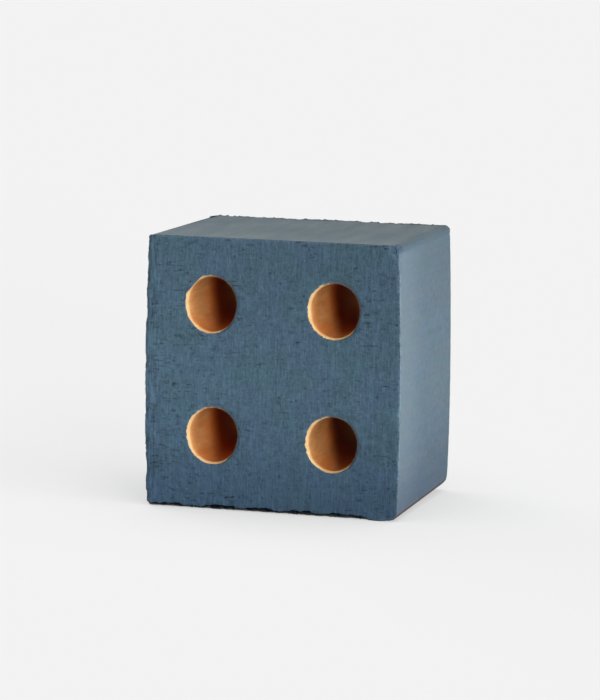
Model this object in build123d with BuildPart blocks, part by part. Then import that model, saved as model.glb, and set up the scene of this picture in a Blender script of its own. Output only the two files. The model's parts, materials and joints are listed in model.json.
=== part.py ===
"""Cored clay brick: a half length wire-cut from an extruded column, standing on one die-formed side.

X runs across the brick, Y along the column and its cores, Z up from the floor.
"""

import os

from build123d import *

# Section of the column, as the die leaves it and the wet clay settles
brick_height = 110.0  # floor to top face
base_width = 104.8  # across the underside, before its corners are rounded
top_width = 104.0  # across the top face, likewise
belly_width = 106.3  # across the sides where they bulge most
belly_height = 46.0  # floor to that widest level

# Long edges of the column, as the die and handling leave them
top_left_radius = 1.3
top_right_radius = 2.2
base_left_radius = 1.0
base_right_radius = 3.0

# Length between the two cutting wires
cut_length = 76.0

# Cores that the die's mandrels leave through the column
core_diameter = 19.8
core_spacing_across = 50.5  # centre to centre along X
core_spacing_up = 53.0  # centre to centre along Z
core_rise = 1.1  # height of the group's centre above mid-height

# Edges of the wire-cut faces, a little worn
arris_radius = 0.5  # rounding of the outer edges
core_lip_width = 1.1  # bevel at the mouth of each core

base_corner = (base_width / 2, 0)
belly = (belly_width / 2, belly_height)
top_corner = (top_width / 2, brick_height)
core_group_height = brick_height / 2 + core_rise
back_cut = Plane.XZ.offset(-cut_length / 2)

with BuildPart() as brick:
    # The clay column: flat top and bottom, settled sides, rounded long edges and four cores
    with BuildSketch(back_cut) as die_section:
        with BuildLine():
            Line((0, 0), base_corner)
            TangentArc(belly, base_corner, tangent=(0, -1))
            TangentArc(belly, top_corner, tangent=(0, 1))
            Line(top_corner, (0, brick_height))
            mirror(about=Plane.YZ)
        make_face()
        for side, base_radius, top_radius in (
            (-1, base_left_radius, top_left_radius),
            (1, base_right_radius, top_right_radius),
        ):
            fillet(die_section.vertices().sort_by_distance((side * base_width / 2, 0))[0], base_radius)
            fillet(die_section.vertices().sort_by_distance((side * top_width / 2, brick_height))[0], top_radius)
        with Locations((0, core_group_height)):
            with GridLocations(core_spacing_across, core_spacing_up, 2, 2):
                Circle(core_diameter / 2, mode=Mode.SUBTRACT)
    extrude(amount=cut_length)

    # Worn arrises round both cut faces, and bevelled lips at both ends of every core
    arrises = ShapeList()
    core_lips = ShapeList()
    for cut_face in brick.faces().filter_by(Axis.Y):
        arrises += cut_face.outer_wire().edges()
        for core_mouth in cut_face.inner_wires():
            core_lips += core_mouth.edges()
    fillet(arrises, arris_radius)
    chamfer(core_lips, core_lip_width)

brick.part.label = "brick"

os.makedirs("parts", exist_ok=True)
export_step(brick.part, "parts/brick.step")
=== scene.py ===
"""Cored clay brick: a wire-cut half length with a matt slate-blue coat, and bare orange clay in its cores.

Metres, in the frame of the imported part: X across, Y along the cores, Z up from the floor.
"""

import json
import math

import bmesh
import bpy
from mathutils import Matrix, Vector


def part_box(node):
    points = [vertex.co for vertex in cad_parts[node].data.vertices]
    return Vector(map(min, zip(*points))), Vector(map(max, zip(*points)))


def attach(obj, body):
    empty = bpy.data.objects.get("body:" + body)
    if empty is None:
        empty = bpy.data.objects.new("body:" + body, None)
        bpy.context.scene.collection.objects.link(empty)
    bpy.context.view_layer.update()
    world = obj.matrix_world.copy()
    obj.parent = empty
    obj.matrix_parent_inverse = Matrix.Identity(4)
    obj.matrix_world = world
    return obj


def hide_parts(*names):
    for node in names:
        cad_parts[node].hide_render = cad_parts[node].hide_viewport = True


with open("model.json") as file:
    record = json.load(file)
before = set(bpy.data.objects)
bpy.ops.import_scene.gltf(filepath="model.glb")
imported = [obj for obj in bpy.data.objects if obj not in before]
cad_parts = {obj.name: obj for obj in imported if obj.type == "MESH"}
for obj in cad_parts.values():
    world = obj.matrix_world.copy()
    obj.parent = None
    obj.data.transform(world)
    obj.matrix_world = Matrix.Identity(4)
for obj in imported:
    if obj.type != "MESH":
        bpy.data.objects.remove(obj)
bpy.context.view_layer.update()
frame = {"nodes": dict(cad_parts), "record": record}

MM = 0.001

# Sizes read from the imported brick
low, high = (Vector(corner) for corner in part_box("brick"))
half_width = high.x
half_length = high.y
height = high.z
cores = [mount for mount in frame["record"]["mounts"] if mount["kind"] == "bore"]
core_radius = cores[0]["dims"]["r_mm"] * MM
core_aside = max(mount["pos_m"][0] for mount in cores)
core_top = max(mount["pos_m"][2] for mount in cores)
core_bottom = min(mount["pos_m"][2] for mount in cores)
core_middle = (core_top + core_bottom) / 2
core_upward = (core_top - core_bottom) / 2
core_lip = half_length - cores[0]["dims"]["length_mm"] * MM / 2
mouth_radius = core_radius + core_lip

# The section's settled sides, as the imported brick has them
belly_height = 46.0 * MM
base_inset = 0.75 * MM
top_inset = 1.15 * MM

# The skin, and the size of the relief on it
merge_distance = 0.001 * MM
skin_grid = 0.36 * MM  # spacing of the points that carry the relief
skin_triangles = 195_000
relief_seed = 7
relief_sizes = {
    "Tear depth": 0.35 * MM,
    "Tear width": 0.3 * MM,
    "Pit depth": 0.35 * MM,
    "Drag line depth": 0.07 * MM,
    "Swell depth": 0.2 * MM,
    "Chip depth": 0.9 * MM,
    "Chip reach": 1.8 * MM,
    "Lip chip depth": 0.45 * MM,
    "Lip chip reach": 1.4 * MM,
    "Core rib depth": 0.05 * MM,
    "Undercut depth": 2.2 * MM,
    "Undercut height": 2.2 * MM,
    "Heel lift": 2.7 * MM,
    "Shoulder wear": 1.3 * MM,
    "Burr height": 0.45 * MM,
}

# Tears scattered over the two cut faces
tears_on_a_face = 110
tear_lengths = (0.7 * MM, 3.4 * MM)
tear_lean = 0.25  # radians off level, either way
tear_shortness = 2.0  # power of the chance, which makes short tears the commoner
tear_crowding = (0.6, 1.8)  # times the even scatter, on the right and at the left
tear_bend = 0.7 * MM
scatter_points = 24  # along each edge of the grid that scatters them
lean_seed_step = 50

# Tears and pits that stand out on the front face: across, up and length, in millimetres
seen_tears = (
    (-9.4, 107.0, 3.0),
    (-7.3, 101.1, 2.5),
    (-18.7, 61.6, 2.2),
    (-18.6, 45.0, 2.4),
    (8.3, 45.4, 2.6),
    (39.6, 69.2, 8.5),
    (45.1, 76.3, 2.4),
    (37.5, 78.5, 3.0),
    (-19.2, 16.2, 4.0),
    (-4.6, 32.9, 2.4),
    (-41.7, 3.6, 1.6),
    (-45.1, 14.5, 1.0),
    (32.0, 3.4, 2.2),
    (46.6, 108.0, 1.6),
    (42.0, 108.6, 8.0),
    (29.0, 108.9, 6.0),
    (11.0, 109.0, 4.0),
)
seen_tear_rise = 0.06  # share of its length

# Knocks on the front arrises: across, up, radius and depth, in millimetres
seen_knocks = (
    (53.0, 108.5, 6.0, 1.9),
    (53.2, 101.0, 4.5, 0.8),
    (53.6, 43.2, 2.0, 0.8),
    (-53.4, 98.0, 4.0, 0.5),
    (-53.6, 78.0, 5.0, 0.6),
    (-53.4, 16.0, 6.0, 0.6),
)
knock_middle_share = 0.15  # of its radius, at full depth

# Mouths of the cores on the front face, worn off round: moved right, moved up and taller by, in millimetres
worn_mouths = {
    "upper left": (0.1, 0.4, 0.9),
    "upper right": (0.4, 0.2, 0.65),
    "lower left": (0.9, 0.9, 0.85),
    "lower right": (0.0, 0.1, 0.6),
}
flat_mouth = 9.9 * MM  # from the axis of the upper left core to the flat on its mouth
flat_right, flat_up = -0.72, 0.69  # the way from that axis to the flat

# Shares of the sizes above: how worn each arris is, and how the shoulder, heel and undercut vary
edge_wear = {"front": 0.25, "back": 0.08, "bottom": 0.8, "left": 0.4}
shoulder_wear, shoulder_gain = 0.2, 0.4
heel_share, heel_gain = 0.6, 0.4
undercut_line = (0.5, 0.95)  # lowest and highest, as shares of the undercut's height
undercut_run = 3.0  # along the underside, times the undercut's depth

# Distances at which chips and tears are at their full depth
chip_middle = 0.2 * MM
lip_chip_middle = 0.1 * MM
tear_middle = 0.06 * MM

# Where the bare clay of the core walls starts and how far out it reaches, also in the flat map
core_margin = 0.25 * MM  # outside the radius, where a point still counts as in the core
wall_start = core_lip + 0.3 * MM
wall_reach = core_radius + 2.2 * MM
map_wall_start = 0.8 * core_lip
map_wall_reach = core_radius + 2.4 * MM
map_gap = 3 * MM
map_facing = 2 * MM  # by which a face counts as nearer to the side that it faces

# Noise patterns: size, squeeze of X, Y and Z where they aren't even, detail and roughness
noise_middle = 0.5
noise_patterns = {
    "crumbs": (1.1 * MM, None, 3.0, 0.6),
    "lumps": (4.0 * MM, None, 2.0, 0.5),
    "swells": (26 * MM, None, 1.0, 0.5),
    "tear bend": (1.5 * MM, None, 2.0, 0.5),
    "drag lines": (1.0 * MM, (1.0, 1.0, 0.07), 2.0, 0.6),
    "core ribs": (1.6 * MM, (1.0, 0.05, 1.0), 2.0, 0.6),
    "burrs": (2.2 * MM, None, 2.0, 0.55),
    "undercut line": (7.0 * MM, None, 3.0, 0.55),
    "clay clouds": (5 * MM, (1.0, 0.25, 1.0), 4.0, 0.6),
    "clay drawn": (0.9 * MM, (1.0, 0.06, 1.0), 3.0, 0.6),
    "clay grain": (0.35 * MM, None, 3.0, 0.6),
    "tint": (14 * MM, None, 3.0, 0.6),
    "streak": (0.8 * MM, (1.0, 1.0, 0.1), 3.0, 0.65),
    "drawn": (1.1 * MM, (1.0, 0.04, 1.0), 3.0, 0.6),
    "drifts": (9 * MM, None, 2.0, 0.5),
    "across": (0.75 * MM, (0.28, 1.0, 1.0), 3.0, 0.55),
    "along": (0.7 * MM, (1.0, 1.0, 0.3), 3.0, 0.55),
    "grain": (0.7 * MM, None, 3.0, 0.65),
    "pocks": (1.3 * MM, None, 3.0, 0.6),
    "mottle": (2.6 * MM, None, 3.0, 0.6),
    "clouds": (3 * MM, (0.5, 0.12, 0.5), 3.0, 0.6),
    "patches": (1.4 * MM, None, 3.0, 0.6),
    "speckle": (1.4 * MM, (1.0, 0.5, 1.0), 3.0, 0.6),
    "coat end": (1.6 * MM, None, 3.0, 0.6),
}

# Spots: spacing, radius as a share of it, and share of them kept
spot_patterns = {
    "pits": (3.2 * MM, 0.16, 0.2),
    "pale crumbs": (1.3 * MM, 0.22, 0.15),
    "specks": (2.2 * MM, 0.12, 0.1),
}
spot_middle_share = 0.4  # of a spot's radius, at full strength

# Shares of two noises in one, and the least of a mark that low noise leaves
lump_share, crumb_share = 0.6, 0.4
clay_cloud_share, clay_drawn_share = 0.75, 0.25
least_knock = 0.7
least_tear = 0.35
least_pale_rim = 0.6

# Levels of noise, facing or mark at which each effect begins and is whole
levels = {
    "cut": (0.6, 0.92),
    "under": (-0.7, -0.95),
    "upward": (0.2, 0.7),
    "chips": (0.42, 0.66),
    "knocks": (0.3, 0.6),
    "lip chips": (0.46, 0.68),
    "tears": (0.3, 0.6),
    "burrs": (0.46, 0.6),
    "undercut": (0.36, 0.64),
    "clay tone": (0.36, 0.64),
    "pale rim": (0.3, 0.6),
    "tint": (0.35, 0.65),
    "drifts": (0.35, 0.65),
    "dash across": (0.6, 0.75),
    "dash along": (0.62, 0.8),
    "lit": (0.36, 0.24),
    "patches": (0.4, 0.6),
    "strip crumbs": (0.49, 0.57),
    "back crumbs": (0.57, 0.65),
    "burr crumbs": (0.1, 0.4),
    "burr patches": (0.0, 0.5),
}

# Places or distances at which each effect begins and is whole
fades = {
    "low edge": (6 * MM, 1 * MM),
    "left edge": (-0.8 * half_width, -half_width),
    "high edge": (0.9 * height, height),
    "burr depth": (1.8 * MM, 0.6 * MM),
    "burr ends": (half_width - 3 * MM, half_width - 7 * MM),
    "burr height": (height - 2.5 * MM, height - 0.8 * MM),
    "shoulder": (6 * MM, 0.4 * MM),
    "undercut end": (45 * MM, 34 * MM),
    "undercut edge": (0.2 * MM, -0.25 * MM),
    "heel across": (half_width - 9 * MM, half_width - 1 * MM),
    "heel down": (14 * MM, 0.0),
    "worn core": (16 * MM - half_length, 1 * MM - half_length),
    "worn mouth": (core_radius + 7 * MM, mouth_radius),
    "edge": (2.0 * MM, 0.3 * MM),
    "shadow": (3.0 * MM, 1.0 * MM),
    # Painted shade: a brown line along the foot of the sides
    "bottom_line_shade": (3.4 * MM, 2.1 * MM),
    # Painted bounce light: redder from here into the core, and along its bottom
    "deep core": (14 * MM, half_length),
    "core bottom": (-4 * MM, -9.5 * MM),
    # Painted highlight on the lips of the cores
    "pale rim": (3.2 * MM, 0.4 * MM),
    "crowded left": (0.0, -0.7 * half_width),
    "left rim": (-0.82 * half_width, -0.98 * half_width),
    "top": (height - 3 * MM, height - 1 * MM),
    "calm high": (88 * MM, 102 * MM),
    "calm low": (22 * MM, 8 * MM),
    # Painted shade and light by place, for the next four fades: lighter low on the faces and darker high up,
    # darker low on the sides and towards their back, darker towards the right
    "upper half": (50 * MM, 100 * MM),
    "side low": (45 * MM, 0.0),
    "side back": (-10 * MM, half_length),
    "rightwards": (-half_width, half_width),
    # Painted shade: the coat grows darker and bluer from here down to the floor
    "above soil": (-25 * MM, 55 * MM),
    "behind front": (40 * MM - half_length, -half_length),
    "ridge across": (half_width - 6 * MM, half_width - 3 * MM),
    "ridge up": (height - 5 * MM, height - 2 * MM),
    # Paler wear and painted light, less of it from here down
    "worn_and_lit": (0.0, 30 * MM),
    "back crumbs": (half_length - 28 * MM, half_length - 8 * MM),
    "right crumbs": (15 * MM, 40 * MM),
    "strip crumbs": (half_length - 7 * MM, half_length - 2 * MM),
    "strip across": (-30 * MM, 10 * MM),
    "overrun": (-6 * MM, 7 * MM),
    "coat end": (mouth_radius + 0.05 * MM, mouth_radius - 0.15 * MM),
    "gloss": (-15 * MM, 55 * MM),
}

# Contrast of each pattern, mark and place in the coat's shade
contrast = {
    "streak": 0.85,
    "left streak": 2.4,
    "drawn": 0.35,
    "grain": 0.5,
    "pocks": 0.3,
    "mottle": 0.6,
    "clouds": 0.6,
    "across": -0.4,
    "along": -0.8,
    "dash": -0.44,
    "lit": 0.2,
    # Painted shade in the tears and pits
    "torn": -0.5,
    # Painted shade and light by place: lighter in the lower half, darker in the upper, darker low down and
    # towards the back on the sides, darker towards the right
    "upper half": -0.05,
    "lower half": 0.05,
    "side low": -0.12,
    "side back": -0.1,
    "rightwards": -0.12,
}
calm_share = 0.6  # of the pocks and mottling that is left at the top and bottom
crowded_dashes = 0.03  # by which more noise counts as a dash at the left and in a drift
thinned_dashes = -0.05  # the same between drifts
shadow_shade = 0.08
# Painted shade on the upper right rounding
ridge_shade = 0.85
# Paler coat: wear at the left arris, painted highlight on the front arrises and a painted band of light
# behind the front
worn_and_lit_shares = {"edge": 0.45, "left edge": 0.1, "behind front": 0.35, "low": 0.4}
crumb_shares = {"back": 0.6, "left strip": 0.25, "right strip": 0.7, "thin burr": 0.3, "full burr": 0.8}
# Painted shade along the foot: how much of the brown it takes
bottom_line_shade_share = 0.8
# Painted bounce light along the bottoms of the cores
bottom_bounce_redness = 0.5

# The coat's end: how far it runs over the lip, towards which side, and how ragged it is
overrun_reach = 0.9 * MM
overrun_right = 0.8
overrun_up, upper_left_overrun_up = 0.6, 0.2
coat_end_swing = 1.6 * MM

# Roughness, gloss and bump
clay_roughness = 0.92
clay_gloss = 0.25
smooth_roughness, cut_roughness = 0.5, 0.66
cloud_roughness = 0.3
low_gloss, coat_gloss = 0.12, 0.5
bump_strength = 0.6
clay_bump = 0.12 * MM
coat_bump = 0.15 * MM
bump_shares = {"grain": 0.9, "streak": 0.5, "drawn": 0.2, "dash": -1.0, "specks": 0.5, "clay": 0.5}
clay_drawn_bump = 0.4

# Colours, as linear shares of light returned
coat_blue = (0.0525, 0.094, 0.139, 1)
coat_teal = (0.0495, 0.094, 0.127, 1)
# Paler coat, for wear and for painted highlights
coat_worn_and_lit = (0.15, 0.20, 0.235, 1)
coat_speck = (0.13, 0.18, 0.22, 1)
# Painted shade: the coat's tint at the floor, darker and bluer low down
painted_low_shade_tint = (0.61, 0.61, 0.72, 1)
plain_tint = (1, 1, 1, 1)
crumb_brown = (0.038, 0.033, 0.024, 1)
# Brown of the painted shade line along the foot
bottom_line_shade_brown = (0.09, 0.076, 0.07, 1)
# Painted light: the top tinted greener and lighter
painted_top_light_tint = (1.04, 1.08, 1.04, 1)
# Painted shade and light: each core's clay darker or lighter as the light falls across the face, darkest at
# the lower right
core_painted_shades = {"upper left": 0.95, "upper right": 0.92, "lower left": 1.04, "lower right": 0.80}
clay_orange = (0.59, 0.295, 0.107, 1)
clay_brown = (0.48, 0.20, 0.065, 1)
# Red of the painted bounce light inside the cores
clay_bounce_red = (0.60, 0.155, 0.026, 1)
# Cream of the pale crumbs and of the painted highlight on the lips
clay_cream = (0.53, 0.38, 0.19, 1)

# Camera, at the photograph's viewing angle
camera_turn = 17.214
camera_tip = 8.423
camera_roll = 0.595
camera_distance = 1.5383
camera_aim_height = 60.6 * MM
camera_lens = 195.62
camera_sensor = 36.0

# Studio lights: name, azimuth, elevation and softness in degrees, and light on a facing surface
studio_lights = (
    ("key_light", 33, 6, 13, 0.85),
    ("soft_key", 52, 22, 26, 0.38),
    ("side_light", 82, 7, 30, 1.15),
    ("back_fill", 240, 8, 40, 0.8),
)
front_glow, back_glow = 0.12, 0.05
glow_turn = (-0.5, 0.5)  # from the front to the back of the backdrop, as a share of its radius
front_sheen, back_sheen = 0.2, 0.88
sheen_turn = (-0.2, 0.4)
sheen_tint = (0.965, 1.015, 0.985, 1)
backdrop_shade = 0.887
floor_size = 8.0
floor_share = 0.2  # of the light that falls on the floor, seen by the camera
floor_bounce = 0.3  # of the same light, returned to the brick
floor_shade_reach = 110 * MM
floor_shade_share = 0.62  # of the floor's own light, left beside the brick
floor_shade_rays = 8


class Net:
    """Places nodes in one tree and joins them. An input is given as a value or as another node's output."""

    def __init__(self, tree):
        self.tree = tree

    def give(self, socket, value):
        if isinstance(value, bpy.types.NodeSocket):
            self.tree.links.new(value, socket)
        else:
            socket.default_value = value

    def node(self, kind, inputs=None, **settings):
        made = self.tree.nodes.new(kind)
        for name, value in settings.items():
            setattr(made, name, value)
        for name, value in (inputs or {}).items():
            self.give(next(s for s in made.inputs if s.name == name and s.enabled), value)
        return made

    def value(self, kind, inputs=None, **settings):
        """The one live output of a node that can work on several kinds of value."""
        return next(s for s in self.node(kind, inputs, **settings).outputs if s.enabled)

    def maths(self, operation, *values):
        made = self.node("ShaderNodeMath", operation=operation)
        for socket, value in zip(made.inputs, values):
            self.give(socket, value)
        return made.outputs[0]

    def product(self, first, *others):
        for other in others:
            first = self.maths("MULTIPLY", first, other)
        return first

    def total(self, first, *others):
        for other in others:
            first = self.maths("ADD", first, other)
        return first

    def less(self, first, second):
        return self.maths("SUBTRACT", first, second)

    def most(self, first, second):
        return self.maths("MAXIMUM", first, second)

    def least(self, first, second):
        return self.maths("MINIMUM", first, second)

    def size(self, value):
        return self.maths("ABSOLUTE", value)

    def ease(self, value, start, end, low=0.0, high=1.0):
        """A smooth step from low at start to high at end. Start may be the larger."""
        inputs = {"Value": value, "From Min": start, "From Max": end, "To Min": low, "To Max": high}
        return self.node("ShaderNodeMapRange", inputs, interpolation_type="SMOOTHSTEP").outputs[0]

    def between(self, share, first, second):
        """A smooth step from the first value at share 0 to the second at share 1."""
        return self.ease(share, 0.0, 1.0, first, second)

    def parts(self, vector):
        return self.node("ShaderNodeSeparateXYZ", {"Vector": vector}).outputs

    def vector(self, x, y, z):
        return self.node("ShaderNodeCombineXYZ", {"X": x, "Y": y, "Z": z}).outputs[0]

    def vectors(self, operation, first, second):
        made = self.node("ShaderNodeVectorMath", operation=operation)
        self.give(made.inputs[0], first)
        self.give(made.inputs["Scale" if operation == "SCALE" else 1], second)
        return next(s for s in made.outputs if s.enabled)

    def length(self, x, y):
        vector = self.vector(x, y, 0.0)
        return self.node("ShaderNodeVectorMath", {"Vector": vector}, operation="LENGTH").outputs["Value"]

    def noise(self, name, place, in_colour=False):
        """Cloudy values round the noise's middle, in one of the noise patterns, or three as a colour."""
        size, squeeze, detail, roughness = noise_patterns[name]
        if squeeze:
            place = self.vectors("MULTIPLY", place, squeeze)
        inputs = {"Vector": place, "Scale": 1 / size, "Detail": detail, "Roughness": roughness}
        return self.node("ShaderNodeTexNoise", inputs).outputs["Color" if in_colour else 0]

    def spots(self, name, place):
        """Round spots on a random lattice: 1 in the middle of a spot, 0 between them."""
        spacing, radius_share, kept_share = spot_patterns[name]
        cells = self.node("ShaderNodeTexVoronoi", {"Vector": place, "Scale": 1 / spacing})
        chance = self.parts(cells.outputs["Color"])[0]
        kept = self.maths("LESS_THAN", chance, kept_share)
        spot = self.ease(cells.outputs["Distance"], radius_share, spot_middle_share * radius_share)
        return self.product(spot, kept)

    def mix(self, share, first, second):
        inputs = {"Factor": share, "A": first, "B": second}
        return self.node("ShaderNodeMix", inputs, data_type="RGBA").outputs["Result"]


def core_offset(net, x, z):
    """How far right of and above the axis of the nearest core a point lies."""
    up = net.less(z, core_middle)
    aside = net.less(x, net.product(net.maths("SIGN", x), core_aside))
    return aside, net.less(up, net.product(net.maths("SIGN", up), core_upward))


def by_core(net, x, z, values):
    """The value that belongs to the nearest core."""
    upper = net.maths("GREATER_THAN", z, core_middle)
    on_left = net.between(upper, values["lower left"], values["upper left"])
    on_right = net.between(upper, values["lower right"], values["upper right"])
    return net.between(net.maths("GREATER_THAN", x, 0.0), on_left, on_right)


def by_upper_left_core(net, x, z):
    """1 in the quarter of the section that holds the upper left core, 0 elsewhere."""
    return net.product(net.maths("LESS_THAN", x, 0.0), net.maths("GREATER_THAN", z, core_middle))


def outline_distance(net, x, z):
    """Distance inside the section's outline."""
    above = net.maths("DIVIDE", net.most(net.less(z, belly_height), 0.0), height - belly_height)
    below = net.maths("DIVIDE", net.most(net.less(belly_height, z), 0.0), belly_height)
    inset = net.total(net.product(above, above, top_inset), net.product(below, below, base_inset))
    from_side = net.less(net.less(half_width, inset), net.size(x))
    return net.least(from_side, net.least(z, net.less(height, z)))


def tear_lines(net, sizes):
    """Short level lines on both cut faces, some scattered and some where the front face shows them."""
    join = net.node("GeometryNodeJoinGeometry")
    unit = net.node("GeometryNodeMeshLine", {"Count": 2}, mode="OFFSET")
    unit.inputs["Start Location"].default_value = (-0.5, 0, 0)
    unit.inputs["Offset"].default_value = (1, 0, 0)
    across = net.parts(net.node("GeometryNodeInputPosition").outputs[0])[0]
    crowding = net.ease(across, *fades["crowded left"], *tear_crowding)
    density = net.product(crowding, tears_on_a_face / (2 * half_width * height))
    for number, side in enumerate((-1, 1)):
        seed = net.total(sizes["Seed"], number)
        face_size = {"Size X": 2 * half_width, "Size Y": height}
        face_points = {"Vertices X": scatter_points, "Vertices Y": scatter_points}
        face = net.node("GeometryNodeMeshGrid", {**face_size, **face_points}).outputs["Mesh"]
        inputs = {"Mesh": face, "Density": density, "Seed": seed}
        points = net.node("GeometryNodeDistributePointsOnFaces", inputs)
        chance = net.value("FunctionNodeRandomValue", {"Seed": seed}, data_type="FLOAT")
        length = net.between(net.maths("POWER", chance, tear_shortness), *tear_lengths)
        lean_inputs = {"Min": -tear_lean, "Max": tear_lean, "Seed": net.total(seed, lean_seed_step)}
        lean = net.value("FunctionNodeRandomValue", lean_inputs, data_type="FLOAT")
        lines = net.node(
            "GeometryNodeInstanceOnPoints",
            {
                "Points": points.outputs["Points"],
                "Instance": unit.outputs["Mesh"],
                "Rotation": net.vector(0.0, 0.0, lean),
                "Scale": net.vector(length, 1.0, 1.0),
            },
        )
        placed = net.node(
            "GeometryNodeTransform",
            {
                "Geometry": lines.outputs["Instances"],
                "Translation": (0, side * half_length, height / 2),
                "Rotation": (math.pi / 2, 0, 0),
            },
        )
        net.tree.links.new(placed.outputs["Geometry"], join.inputs["Geometry"])
    for across, up, length in seen_tears:
        line = net.node("GeometryNodeMeshLine", {"Count": 2}, mode="OFFSET")
        line.inputs["Start Location"].default_value = ((across - length / 2) * MM, -half_length, up * MM)
        line.inputs["Offset"].default_value = (length * MM, 0, seen_tear_rise * length * MM)
        net.tree.links.new(line.outputs["Mesh"], join.inputs["Geometry"])
    whole = net.node("GeometryNodeRealizeInstances", {"Geometry": join.outputs["Geometry"]})
    return whole.outputs["Geometry"]


def relief_tree():
    """The skin's relief: tears, pits, drag lines, chips and burrs, and the worn base, edges and mouths."""
    tree = bpy.data.node_groups.new("brick_relief", "GeometryNodeTree")
    tree.interface.new_socket("Geometry", in_out="INPUT", socket_type="NodeSocketGeometry")
    for name in relief_sizes:
        tree.interface.new_socket(name, in_out="INPUT", socket_type="NodeSocketFloat")
    tree.interface.new_socket("Seed", in_out="INPUT", socket_type="NodeSocketInt")
    tree.interface.new_socket("Coat", in_out="INPUT", socket_type="NodeSocketMaterial")
    tree.interface.new_socket("Bare clay", in_out="INPUT", socket_type="NodeSocketMaterial")
    tree.interface.new_socket("Geometry", in_out="OUTPUT", socket_type="NodeSocketGeometry")
    net = Net(tree)
    sizes = net.node("NodeGroupInput").outputs
    place = net.node("GeometryNodeInputPosition").outputs[0]
    x, y, z = net.parts(place)
    outward = net.node("GeometryNodeInputNormal").outputs[0]
    facing = net.parts(outward)

    # Where a point lies: on a cut face, on the underside, near an arris or near a core's lip
    cut = net.ease(net.size(facing[1]), *levels["cut"])
    under = net.ease(facing[2], *levels["under"])
    from_cut = net.less(half_length, net.size(y))
    arris = net.length(from_cut, outline_distance(net, x, z))
    aside, above = core_offset(net, x, z)
    from_axis = net.length(aside, above)
    lip = net.length(from_cut, net.less(from_axis, mouth_radius))
    in_core = net.maths("LESS_THAN", from_axis, core_radius + core_margin)

    # Noise at three scales
    crumbs = net.noise("crumbs", place)
    lumps = net.noise("lumps", place)
    swells = net.noise("swells", place)

    # Arrises: worst along the bottom, next along the left and at the back
    low_edge = net.ease(z, *fades["low edge"], 0.0, edge_wear["bottom"])
    left_edge = net.ease(x, *fades["left edge"], 0.0, edge_wear["left"])
    back_edge = net.product(net.ease(y, 0.0, half_length), net.ease(z, *fades["high edge"]))
    wear = net.ease(y, -half_length, half_length, edge_wear["front"], edge_wear["back"])
    wear = net.total(wear, low_edge, left_edge, back_edge)
    ragged = net.total(net.product(lumps, lump_share), net.product(crumbs, crumb_share))
    chipped = net.ease(ragged, *levels["chips"])
    chipped = net.product(chipped, net.ease(arris, sizes["Chip reach"], chip_middle))
    chips = net.product(chipped, wear, sizes["Chip depth"])
    for across, up, radius, depth in seen_knocks:
        middle = (across * MM, -half_length, up * MM)
        apart = net.vectors("DISTANCE", place, middle)
        knock = net.ease(apart, radius * MM, knock_middle_share * radius * MM)
        rough_knock = net.ease(ragged, *levels["knocks"], least_knock, 1.0)
        chips = net.most(chips, net.product(knock, depth * MM, rough_knock))

    # Lips of the cores
    lip_chipped = net.ease(ragged, *levels["lip chips"])
    lip_chipped = net.product(lip_chipped, net.ease(lip, sizes["Lip chip reach"], lip_chip_middle))
    lip_chips = net.product(lip_chipped, sizes["Lip chip depth"])

    # Tears open across the wire's travel, along lines bent a little by noise
    bend = net.vectors("ADD", net.noise("tear bend", place, in_colour=True), 3 * (-noise_middle,))
    bent = net.vectors("SCALE", bend, tear_bend)
    nearest = net.node(
        "GeometryNodeProximity",
        {"Geometry": tear_lines(net, sizes), "Sample Position": net.vectors("ADD", place, bent)},
        target_element="EDGES",
    )
    torn = net.ease(nearest.outputs["Distance"], sizes["Tear width"], tear_middle)
    torn = net.product(torn, cut, net.ease(lumps, *levels["tears"], least_tear, 1.0))
    tears = net.product(torn, sizes["Tear depth"])

    # Pits and wire drag lines on the cut faces, ribs in the cores, and slow swells but on the flat underside
    pitted = net.product(net.spots("pits", place), cut)
    pits = net.product(pitted, sizes["Pit depth"])
    drag = net.product(net.noise("drag lines", place), cut, sizes["Drag line depth"])
    swell = net.product(swells, net.less(1.0, under), sizes["Swell depth"])
    ribbed = net.product(net.noise("core ribs", place), in_core, sizes["Core rib depth"])

    # Burrs: nubs of clay that the wire pulled up along the back of the top, which stands a little lower
    nubs = net.ease(net.noise("burrs", net.vector(x, 0.0, z)), *levels["burrs"])
    nubs = net.product(nubs, net.ease(net.less(half_length, y), *fades["burr depth"]))
    nubs = net.product(nubs, net.ease(net.size(x), *fades["burr ends"]))
    nubs = net.product(nubs, net.ease(z, *fades["burr height"]))
    burrs = net.product(net.ease(facing[2], *levels["upward"]), net.less(1.0, nubs), sizes["Burr height"])

    # Shoulder: the long edge at the upper left is worn, more and more towards the back
    from_shoulder = net.length(net.total(x, half_width - top_inset), net.less(z, height))
    worn = net.total(shoulder_wear, net.product(net.total(y, half_length), shoulder_gain / half_length))
    shoulder = net.product(net.ease(from_shoulder, *fades["shoulder"]), worn, sizes["Shoulder wear"])
    inward = net.total(chips, lip_chips, tears, pits, drag, swell, ribbed, burrs, shoulder)
    offset = net.vectors("SCALE", outward, net.product(inward, -1.0))

    # The undercut: below a ragged line the cut faces stand back, less and less along the underside
    ragged_line = net.noise("undercut line", net.vector(x, y, 0.0))
    ragged_line = net.ease(ragged_line, *levels["undercut"], *undercut_line)
    spared = net.ease(x, *fades["undercut end"])
    line_height = net.product(ragged_line, spared, sizes["Undercut height"])
    below = net.ease(net.less(z, line_height), *fades["undercut edge"])
    run = net.product(sizes["Undercut depth"], undercut_run)
    fading = net.less(1.0, net.maths("DIVIDE", from_cut, run))
    set_back = net.product(below, net.most(fading, 0.0), sizes["Undercut depth"], spared)
    set_back = net.product(set_back, net.maths("SIGN", y), -1.0)

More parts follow.
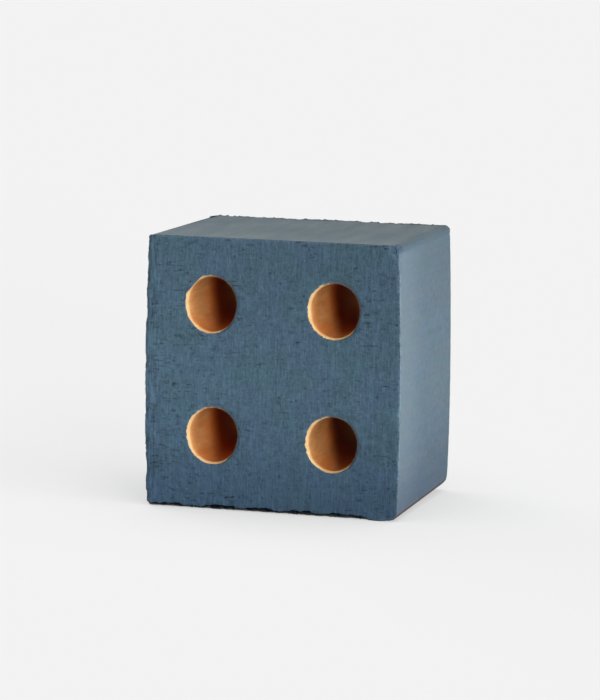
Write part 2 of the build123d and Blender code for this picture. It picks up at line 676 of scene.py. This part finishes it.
    # The heel: the long edge at the lower right rises towards the back
    risen = net.product(net.total(heel_share, net.product(y, heel_gain / half_length)), sizes["Heel lift"])
    beside = net.product(net.ease(x, *fades["heel across"]), net.ease(z, *fades["heel down"]))
    offset = net.vectors("ADD", offset, net.vector(0.0, set_back, net.product(risen, beside)))

    # The mouths on the front face: worn off round, less and less down the core and out over the face
    worn_mouth = net.product(net.ease(from_axis, *fades["worn mouth"]), net.ease(y, *fades["worn core"]))
    rightward, upward, growth = (
        by_core(net, x, z, {name: worn[part] * MM for name, worn in worn_mouths.items()}) for part in range(3)
    )
    upward = net.total(upward, net.product(growth, net.maths("DIVIDE", above, mouth_radius)))
    upper_left = by_upper_left_core(net, x, z)
    beyond = net.less(net.total(net.product(aside, flat_right), net.product(above, flat_up)), flat_mouth)
    beyond = net.least(net.most(beyond, 0.0), mouth_radius - flat_mouth)
    rightward = net.total(rightward, net.product(beyond, upper_left, -flat_right))
    upward = net.total(upward, net.product(beyond, upper_left, -flat_up))
    worn_off = net.vectors("SCALE", net.vector(rightward, 0.0, upward), worn_mouth)
    offset = net.vectors("ADD", offset, worn_off)

    # Marks for the coat to read, then the moved points and the two materials
    shape = sizes["Geometry"]
    marks = {
        "cut_face": cut,
        # The coat darkens tears and pits with painted shade
        "torn": net.most(torn, pitted),
        "edge": net.ease(arris, *fades["edge"]),
        "shadowed": net.product(below, spared, net.ease(from_cut, *fades["shadow"])),
        # Painted shade along the foot of the sides, where they turn under
        "bottom_line_shade": net.product(net.less(1.0, cut), net.ease(z, *fades["bottom_line_shade"])),
        "burr": nubs,
        "from_axis": from_axis,
    }
    for name, value in marks.items():
        inputs = {"Geometry": shape, "Name": name, "Value": value}
        shape = net.node("GeometryNodeStoreNamedAttribute", inputs, data_type="FLOAT").outputs["Geometry"]
    kept_in = net.vectors("MINIMUM", net.vectors("MAXIMUM", net.vectors("ADD", place, offset), low), high)
    moved = net.node("GeometryNodeSetPosition", {"Geometry": shape, "Position": kept_in})
    whole = net.node("GeometryNodeRealizeInstances", {"Geometry": moved.outputs["Geometry"]})
    smooth = net.node("GeometryNodeSetShadeSmooth", {"Geometry": whole.outputs["Geometry"]})
    inputs = {"Geometry": smooth.outputs["Geometry"], "Material": sizes["Coat"]}
    coated = net.node("GeometryNodeSetMaterial", inputs)
    deep = net.maths("GREATER_THAN", from_cut, wall_start)
    wall = net.product(deep, net.maths("LESS_THAN", from_axis, wall_reach))
    inputs = {"Geometry": coated.outputs["Geometry"], "Selection": wall, "Material": sizes["Bare clay"]}
    cored = net.node("GeometryNodeSetMaterial", inputs)
    net.node("NodeGroupOutput", {"Geometry": cored.outputs["Geometry"]})
    return tree


def shader_net(name):
    """A new material, its net, its Principled shader and its Object coordinates."""
    material = bpy.data.materials.new(name)
    material.use_nodes = True
    net = Net(material.node_tree)
    shader = material.node_tree.nodes["Principled BSDF"]
    place = net.node("ShaderNodeTexCoord").outputs["Object"]
    return material, net, shader, place


def clay_group():
    """Fired clay: colour and grain height, for the core walls and for what shows past the end of the coat."""
    tree = bpy.data.node_groups.new("fired_clay", "ShaderNodeTree")
    tree.interface.new_socket("Place", in_out="INPUT", socket_type="NodeSocketVector")
    tree.interface.new_socket("Colour", in_out="OUTPUT", socket_type="NodeSocketColor")
    tree.interface.new_socket("Height", in_out="OUTPUT", socket_type="NodeSocketFloat")
    net = Net(tree)
    place = net.node("NodeGroupInput").outputs["Place"]
    clouds = net.noise("clay clouds", place)
    drawn = net.noise("clay drawn", place)
    tone = net.total(net.product(clouds, clay_cloud_share), net.product(drawn, clay_drawn_share))
    colour = net.mix(net.ease(tone, *levels["clay tone"]), clay_brown, clay_orange)

    # Painted bounce light: redder well inside the cores and along their bottoms. Painted highlight: paler
    # towards their mouths, where the lips catch the light. Pale crumbs all along
    x, y, z = net.parts(place)
    from_cut = net.less(half_length, net.size(y))
    above = core_offset(net, x, z)[1]
    bounce_red = net.ease(from_cut, *fades["deep core"])
    bounce_red = net.most(bounce_red, net.ease(above, *fades["core bottom"], 0.0, bottom_bounce_redness))
    colour = net.mix(bounce_red, colour, clay_bounce_red)
    # Painted shade: each core darker or lighter by its place
    colour = net.vectors("SCALE", colour, by_core(net, x, z, core_painted_shades))
    # Painted highlight: paler towards the mouths
    rim_highlight = net.ease(from_cut, *fades["pale rim"])
    rim_highlight = net.product(rim_highlight, net.ease(clouds, *levels["pale rim"], least_pale_rim, 1.0))
    colour = net.mix(net.most(rim_highlight, net.spots("pale crumbs", place)), colour, clay_cream)
    grain = net.total(net.noise("clay grain", place), net.product(drawn, clay_drawn_bump))
    net.node("NodeGroupOutput", {"Colour": colour, "Height": grain})
    return tree


def grouped(net, tree, place):
    made = net.node("ShaderNodeGroup", node_tree=tree)
    net.give(made.inputs["Place"], place)
    return made.outputs


def bumped(net, shader, relief, distance):
    bump = net.node("ShaderNodeBump", {"Height": relief, "Strength": bump_strength, "Distance": distance})
    net.give(shader.inputs["Normal"], bump.outputs[0])


def bare_clay_material(clay):
    """Bare fired clay, dry and rough, drawn along the cores."""
    material, net, shader, place = shader_net("bare_clay")
    look = grouped(net, clay, place)
    net.give(shader.inputs["Base Color"], look["Colour"])
    shader.inputs["Roughness"].default_value = clay_roughness
    shader.inputs["Specular IOR Level"].default_value = clay_gloss
    bumped(net, shader, look["Height"], clay_bump)
    return material


def slate_coat_material(clay):
    """Matt slate-blue coat: mottled tint, drag streaks, tears darkened by painted shade, pale specks, bare
    clay at the lips, with painted shade and light by place.
    """
    material, net, shader, place = shader_net("slate_coat")
    x, y, z = net.parts(place)

    def stored(name):
        return net.node("ShaderNodeAttribute", attribute_name=name).outputs["Fac"]

    def swing(name, value, *masks):
        """How far a pattern lies from its middle, at its contrast."""
        return net.product(net.less(value, noise_middle), *masks, contrast[name])

    cut, torn, edge = stored("cut_face"), stored("torn"), stored("edge")
    shadowed, bottom_line_shade, burr = stored("shadowed"), stored("bottom_line_shade"), stored("burr")
    tint = net.ease(net.noise("tint", place), *levels["tint"])
    colour = net.mix(tint, coat_blue, coat_teal)

    # Streaks that the wire drew, short dashes across and along them in drifts, grain and mottling
    smooth = net.less(1.0, cut)
    left = net.ease(x, *fades["left rim"])
    top = net.ease(z, *fades["top"])
    streak = net.noise("streak", place)
    drawn = net.noise("drawn", place)
    across = net.noise("across", place)
    along = net.noise("along", place)
    drift = net.ease(net.noise("drifts", place), *levels["drifts"], thinned_dashes, crowded_dashes)
    crowding = net.total(net.ease(x, *fades["crowded left"], 0.0, crowded_dashes), drift)
    dash_across = net.ease(net.total(across, crowding), *levels["dash across"])
    dash = net.product(net.most(dash_across, net.ease(along, *levels["dash along"])), cut)
    lit = net.product(net.most(net.ease(across, *levels["lit"]), net.ease(along, *levels["lit"])), cut)
    grain = net.noise("grain", place)
    clouds = net.noise("clouds", place)
    calm = net.ease(z, *fades["calm high"], 1.0, calm_share)
    calm = net.product(calm, net.ease(z, *fades["calm low"], 1.0, calm_share))
    streaky = net.between(left, contrast["streak"], contrast["left streak"])
    shade = net.total(
        1.0,
        net.product(net.less(streak, noise_middle), cut, streaky),
        swing("drawn", drawn, smooth),
        swing("grain", grain),
        swing("pocks", net.noise("pocks", place), calm),
        swing("mottle", net.noise("mottle", place), calm),
        swing("clouds", clouds, smooth),
        swing("across", across, cut, calm),
        swing("along", along, cut),
        net.product(dash, contrast["dash"]),
        net.product(lit, contrast["lit"]),
        # Painted shade: tears and pits darker
        net.product(torn, contrast["torn"]),
        # Painted shade and light by place: lighter low and darker high, darker low and towards the back on
        # the sides, darker towards the right
        net.ease(z, *fades["upper half"], contrast["lower half"], contrast["upper half"]),
        net.product(smooth, net.ease(z, *fades["side low"], 0.0, contrast["side low"])),
        net.product(smooth, net.ease(y, *fades["side back"], 0.0, contrast["side back"])),
        net.ease(x, *fades["rightwards"], 0.0, contrast["rightwards"]),
    )
    # Painted shade: the coat darker and bluer towards the floor
    painted_low_shade = net.mix(net.ease(z, *fades["above soil"]), painted_low_shade_tint, plain_tint)
    shade = net.product(shade, net.between(shadowed, 1.0, shadow_shade))
    colour = net.vectors("MULTIPLY", net.vectors("SCALE", colour, shade), painted_low_shade)
    # Painted light: the top tinted greener and lighter, as its light and sheen would make it
    colour = net.vectors("MULTIPLY", colour, net.mix(net.product(top, smooth), plain_tint, painted_top_light_tint))
    specks = net.product(net.spots("specks", place), cut)
    colour = net.mix(specks, colour, coat_speck)

    # Paler on the arrises, as wear at the left and as a painted highlight on the rounded front arrises, and a
    # painted band of light on the smooth sides just behind the front, but for the upper right edge
    patchy = net.ease(net.noise("patches", place), *levels["patches"])
    behind_front = net.product(smooth, net.ease(y, *fades["behind front"]), worn_and_lit_shares["behind front"])
    worn_and_lit_edge = net.between(left, worn_and_lit_shares["edge"], worn_and_lit_shares["left edge"])
    worn_and_lit = net.total(net.product(edge, edge, patchy, worn_and_lit_edge), behind_front)
    ridge = net.product(net.ease(x, *fades["ridge across"]), net.ease(z, *fades["ridge up"]))
    off_ridge = net.less(1.0, ridge)
    worn_and_lit = net.product(worn_and_lit, off_ridge, net.ease(z, *fades["worn_and_lit"], worn_and_lit_shares["low"], 1.0))
    colour = net.mix(worn_and_lit, colour, coat_worn_and_lit)

    # Brown crumbs along the back of the top and on its burrs, and a brown line of painted shade along the
    # foot
    speckle = net.noise("speckle", place)
    near_back = net.product(net.ease(y, *fades["back crumbs"]), net.ease(x, *fades["right crumbs"]), top)
    near_back = net.product(near_back, net.ease(speckle, *levels["back crumbs"]), crumb_shares["back"])
    strip_shares = (crumb_shares["left strip"], crumb_shares["right strip"])
    last_strip = net.product(net.ease(y, *fades["strip crumbs"]), top)
    last_strip = net.product(last_strip, net.ease(x, *fades["strip across"], *strip_shares))
    last_strip = net.product(last_strip, net.ease(speckle, *levels["strip crumbs"]), off_ridge)
    strewn = net.product(net.most(near_back, last_strip), smooth)
    burr_shares = (crumb_shares["thin burr"], crumb_shares["full burr"])
    on_burrs = net.ease(patchy, *levels["burr patches"], *burr_shares)
    crumbs = net.most(strewn, net.product(net.ease(burr, *levels["burr crumbs"]), on_burrs))
    colour = net.mix(crumbs, colour, crumb_brown)
    colour = net.mix(net.product(bottom_line_shade, bottom_line_shade_share), colour, bottom_line_shade_brown)
    # Painted shade: the upper right rounding darker, in colour and in sheen
    ridge_tone = net.between(ridge, 1.0, ridge_shade)
    colour = net.vectors("SCALE", colour, ridge_tone)

    # The coat stops short of each core along a broken line, and runs over the lip at its upper right
    aside, above = core_offset(net, x, z)
    slant_up = net.between(by_upper_left_core(net, x, z), overrun_up, upper_left_overrun_up)
    slant = net.total(net.product(aside, overrun_right), net.product(above, slant_up))
    overrun = net.ease(slant, *fades["overrun"], 0.0, overrun_reach)
    broken = net.product(net.less(net.noise("coat end", place), noise_middle), coat_end_swing)
    bare = net.ease(net.total(stored("from_axis"), overrun, broken), *fades["coat end"])
    look = grouped(net, clay, place)
    net.give(shader.inputs["Base Color"], net.mix(bare, colour, look["Colour"]))

    # Matt where it is bare, crumbly or in shadow, with a duller sheen low down
    roughness = net.between(cut, smooth_roughness, cut_roughness)
    cloudy = net.product(net.less(clouds, noise_middle), smooth, cloud_roughness)
    roughness = net.total(roughness, cloudy)
    matt = net.most(net.most(shadowed, bottom_line_shade), crumbs)
    roughness = net.most(roughness, net.product(net.most(bare, matt), clay_roughness))
    net.give(shader.inputs["Roughness"], roughness)
    gloss = net.product(net.ease(z, *fades["gloss"], low_gloss, coat_gloss), ridge_tone)
    net.give(shader.inputs["Specular IOR Level"], net.product(gloss, net.less(1.0, matt)))
    relief = net.total(
        net.product(grain, bump_shares["grain"]),
        net.product(streak, cut, bump_shares["streak"]),
        net.product(drawn, smooth, bump_shares["drawn"]),
        net.product(dash, bump_shares["dash"]),
        net.product(specks, bump_shares["specks"]),
        net.product(look["Height"], bare, bump_shares["clay"]),
    )
    bumped(net, shader, relief, coat_bump)
    return material


def brick_skin(coat, bare_clay):
    """The brick at full relief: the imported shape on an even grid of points, worked by the relief tree."""
    work = bmesh.new()
    work.from_mesh(frame["nodes"]["brick"].data)
    bmesh.ops.remove_doubles(work, verts=work.verts, dist=merge_distance)
    mesh = bpy.data.meshes.new("brick_blank")
    work.to_mesh(mesh)
    work.free()
    blank = bpy.data.objects.new("brick_blank", mesh)
    bpy.context.scene.collection.objects.link(blank)

    grid = blank.modifiers.new("even_grid", "REMESH")
    grid.mode = "VOXEL"
    grid.voxel_size = skin_grid
    relief = blank.modifiers.new("relief", "NODES")
    relief.node_group = relief_tree()
    sockets = {s.name: s.identifier for s in relief.node_group.interface.items_tree if s.in_out == "INPUT"}
    for name, value in relief_sizes.items():
        relief[sockets[name]] = value
    relief[sockets["Seed"]] = relief_seed
    relief[sockets["Coat"]] = coat
    relief[sockets["Bare clay"]] = bare_clay

    full = bpy.data.meshes.new_from_object(blank.evaluated_get(bpy.context.evaluated_depsgraph_get()))
    blank.modifiers.clear()
    blank.data = full
    thin = blank.modifiers.new("thinned", "DECIMATE")
    full.calc_loop_triangles()
    thin.ratio = skin_triangles / len(full.loop_triangles)
    thin.use_collapse_triangulate = True
    skin = bpy.data.meshes.new_from_object(blank.evaluated_get(bpy.context.evaluated_depsgraph_get()))
    skin.name = "brick_skin"
    for vertex in skin.vertices:
        vertex.co = [min(max(value, least), most) for value, least, most in zip(vertex.co, low, high)]
    bpy.data.objects.remove(blank)
    bake_map(skin)
    piece = bpy.data.objects.new("brick_skin", skin)
    bpy.context.scene.collection.objects.link(piece)
    return piece


def nearest_side(centre, normal):
    """The side of the brick that a face lies on, by its distance from each side and the way that it faces."""
    above = max(centre.z - belly_height, 0.0) / (height - belly_height)
    below = max(belly_height - centre.z, 0.0) / belly_height
    side = half_width - above * above * top_inset - below * below * base_inset
    apart = {
        "front": half_length + centre.y - map_facing * -normal.y,
        "back": half_length - centre.y - map_facing * normal.y,
        "left": side + centre.x - map_facing * -normal.x,
        "right": side - centre.x - map_facing * normal.x,
        "bottom": centre.z - map_facing * -normal.z,
        "top": height - centre.z - map_facing * normal.z,
    }
    return min(apart, key=apart.get)


def laid_flat(side, point):
    """Where a point of one side lies when that side is laid flat, from its lower left corner."""
    across = {"front": point.x, "back": -point.x, "left": -point.y, "right": point.y}.get(side, point.x)
    up = {"bottom": half_length - point.y, "top": half_length + point.y}.get(side, point.z)
    return across + (half_length if side in ("left", "right") else half_width), up


def bake_map(skin):
    """A flat map for the baked picture: six sides laid flat and four cores unrolled, in three rows."""
    room = {"left": (2 * half_length, height), "right": (2 * half_length, height)}
    for side in ("front", "back"):
        room[side] = (2 * half_width, height)
    for side in ("bottom", "top"):
        room[side] = (2 * half_width, 2 * half_length)
    for core in cores:
        room[core["name"]] = (2 * math.pi * core_radius, 2 * half_length)
    names = [core["name"] for core in cores]
    corner = {}
    up = map_gap
    reach = 0.0
    for row in (("front", "back", "left"), ("right", *names[:3]), (names[3], "bottom", "top")):
        along = map_gap
        for name in row:
            corner[name] = Vector((along, up))
            along += room[name][0] + map_gap
        up += max(room[name][1] for name in row) + map_gap
        reach = max(reach, along, up)

    layer = skin.uv_layers.new(name="OFBake")
    for face in skin.polygons:
        centre = face.center
        core = min(cores, key=lambda core: (centre.xz - Vector(core["pos_m"]).xz).length)
        axis = Vector(core["pos_m"]).xz
        inside = (centre.xz - axis).length < map_wall_reach
        if inside and half_length - abs(centre.y) > map_wall_start:
            middle = math.atan2(*(centre.xz - axis).yx)
            for loop in face.loop_indices:
                point = skin.vertices[skin.loops[loop].vertex_index].co
                turn = math.atan2(*(point.xz - axis).yx) - middle
                turn = (turn + math.pi) % (2 * math.pi) - math.pi + middle + math.pi
                spot = Vector((turn * core_radius, point.y + half_length))
                layer.uv[loop].vector = (corner[core["name"]] + spot) / reach
        else:
            side = nearest_side(centre, face.normal)
            for loop in face.loop_indices:
                point = skin.vertices[skin.loops[loop].vertex_index].co
                layer.uv[loop].vector = (corner[side] + Vector(laid_flat(side, point))) / reach


def stage_floor():
    """A plain pale floor, level in shade with the backdrop and darker where the brick keeps the light off."""
    bpy.ops.mesh.primitive_plane_add(size=floor_size)
    floor = bpy.context.object
    floor.name = "studio_floor"
    material = bpy.data.materials.new("studio_floor")
    material.use_nodes = True
    net = Net(material.node_tree)
    net.tree.nodes.clear()
    fallen = (front_glow + back_glow) / 2
    for name, azimuth, elevation, softness, light in studio_lights:
        fallen += light * math.sin(math.radians(elevation))
    lift = backdrop_shade - floor_share * fallen
    inputs = {"Distance": floor_shade_reach}
    open_sky = net.node("ShaderNodeAmbientOcclusion", inputs, samples=floor_shade_rays).outputs["AO"]
    pale = net.node("ShaderNodeBsdfDiffuse", {"Color": (*[floor_share] * 3, 1)}).outputs[0]
    own_light = net.between(open_sky, floor_shade_share * lift, lift)
    glow = net.node("ShaderNodeEmission", {"Strength": own_light}).outputs[0]
    seen = net.node("ShaderNodeAddShader")
    net.give(seen.inputs[0], pale)
    net.give(seen.inputs[1], glow)
    unseen = net.node("ShaderNodeBsdfDiffuse", {"Color": (*[floor_bounce] * 3, 1)}).outputs[0]
    path = net.node("ShaderNodeLightPath").outputs
    choice = net.node("ShaderNodeMixShader", {"Fac": net.most(path["Is Camera Ray"], path["Is Glossy Ray"])})
    net.give(choice.inputs[1], unseen)
    net.give(choice.inputs[2], seen.outputs[0])
    net.node("ShaderNodeOutputMaterial", {"Surface": choice.outputs[0]})
    floor.data.materials.append(material)


def studio_world():
    """A pale backdrop, bright behind the brick in its sheen and dim as general light."""
    world = bpy.data.worlds.new("studio")
    bpy.context.scene.world = world
    world.use_nodes = True
    net = Net(world.node_tree)
    net.tree.nodes.clear()
    path = net.node("ShaderNodeLightPath").outputs
    behind = net.parts(net.node("ShaderNodeTexCoord").outputs["Generated"])[1]
    general = net.ease(behind, *glow_turn, front_glow, back_glow)
    sheen = net.ease(behind, *sheen_turn, front_sheen, back_sheen)
    unseen = net.value("ShaderNodeMix", {"Factor": path["Is Glossy Ray"], "A": general, "B": sheen})
    shade = net.value("ShaderNodeMix", {"Factor": path["Is Camera Ray"], "A": unseen, "B": backdrop_shade})
    tint = net.mix(path["Is Glossy Ray"], plain_tint, sheen_tint)
    background = net.node("ShaderNodeBackground", {"Color": tint, "Strength": shade})
    net.node("ShaderNodeOutputWorld", {"Surface": background.outputs[0]})


def studio_light(name, azimuth, elevation, softness, light):
    """An even soft light from far off. Azimuth 0 is in front of the brick, 90 to its right."""
    data = bpy.data.lights.new(name, "SUN")
    data.energy = math.pi * light
    data.angle = math.radians(softness)
    lamp = bpy.data.objects.new(name, data)
    bpy.context.scene.collection.objects.link(lamp)
    turn, rise = math.radians(azimuth), math.radians(elevation)
    outward = Vector((math.sin(turn) * math.cos(rise), -math.cos(turn) * math.cos(rise), math.sin(rise)))
    lamp.visible_glossy = False
    lamp.location = outward
    lamp.rotation_euler = outward.to_track_quat("Z", "Y").to_euler()


def photo_camera():
    data = bpy.data.cameras.new("photo_camera")
    data.sensor_width = camera_sensor
    data.lens = camera_lens
    camera = bpy.data.objects.new("photo_camera", data)
    bpy.context.scene.collection.objects.link(camera)
    turned = Matrix.Rotation(math.radians(camera_turn), 4, "Z")
    tipped = Matrix.Rotation(math.radians(90 - camera_tip), 4, "X")
    rolled = Matrix.Rotation(math.radians(camera_roll), 4, "Z")
    pose = turned @ tipped @ rolled
    aim = Vector((0, 0, camera_aim_height))
    back = pose.to_3x3() @ Vector((0, 0, camera_distance))
    camera.matrix_world = Matrix.Translation(aim + back) @ pose
    bpy.context.scene.camera = camera


clay = clay_group()
skin = brick_skin(slate_coat_material(clay), bare_clay_material(clay))
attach(skin, "root")
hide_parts("brick")

stage_floor()
studio_world()
for light in studio_lights:
    studio_light(*light)
photo_camera()
bpy.context.scene.view_settings.view_transform = "Standard"
